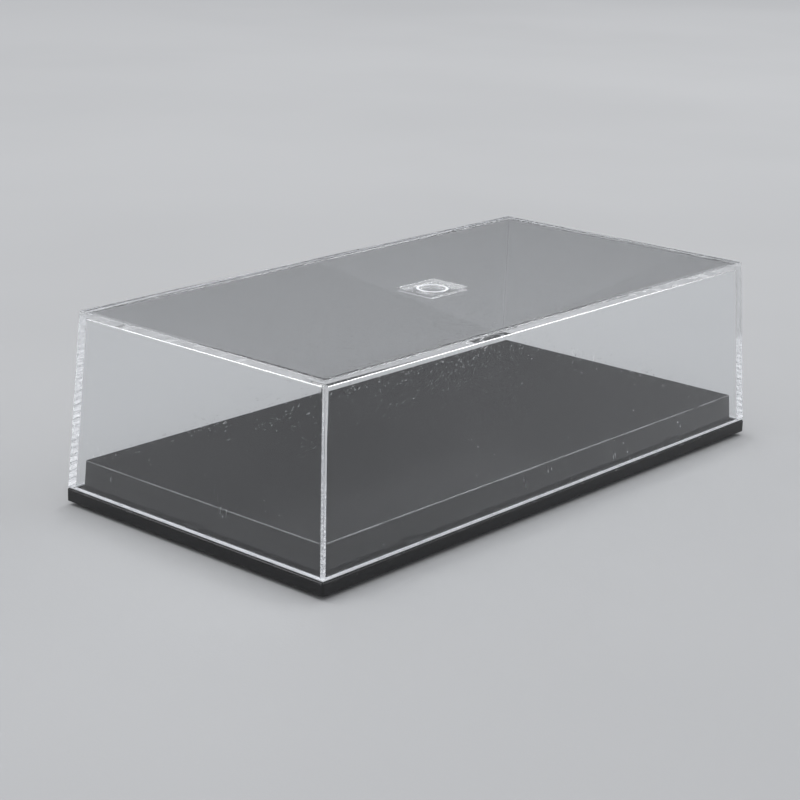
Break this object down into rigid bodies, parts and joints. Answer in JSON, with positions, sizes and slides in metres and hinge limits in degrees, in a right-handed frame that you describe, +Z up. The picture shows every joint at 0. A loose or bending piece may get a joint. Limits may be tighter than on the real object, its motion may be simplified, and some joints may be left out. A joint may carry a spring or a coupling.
{
  "type": "display case",
  "caption": "Low rectangular display case: a clear drafted dust cover lifts off a gloss black tray with a raised deck, to show a small model.",
  "frame": {"origin": "middle of the footprint, on the surface that the feet stand on", "axes": "+X along the long sides, +Y to the back, +Z up, the way the cover lifts"},
  "size_m": [0.2406, 0.1236, 0.07],
  "materials": {
    "clear_cover": "gloss",
    "black_tray": "gloss",
    "rubber_foot": "matte"
  },
  "bodies": {
    "tray": {"base_tray": "black_tray", "foot_front_left": "rubber_foot", "foot_front_right": "rubber_foot", "foot_rear_left": "rubber_foot", "foot_rear_right": "rubber_foot"},
    "cover": {"dust_cover": "clear_cover"}
  },
  "joints": [
    {"name": "cover_lift", "type": "slide", "parent": "tray", "child": "cover", "axis": [0, 0, 1], "range_m": [0, 0.08]}
  ]
}
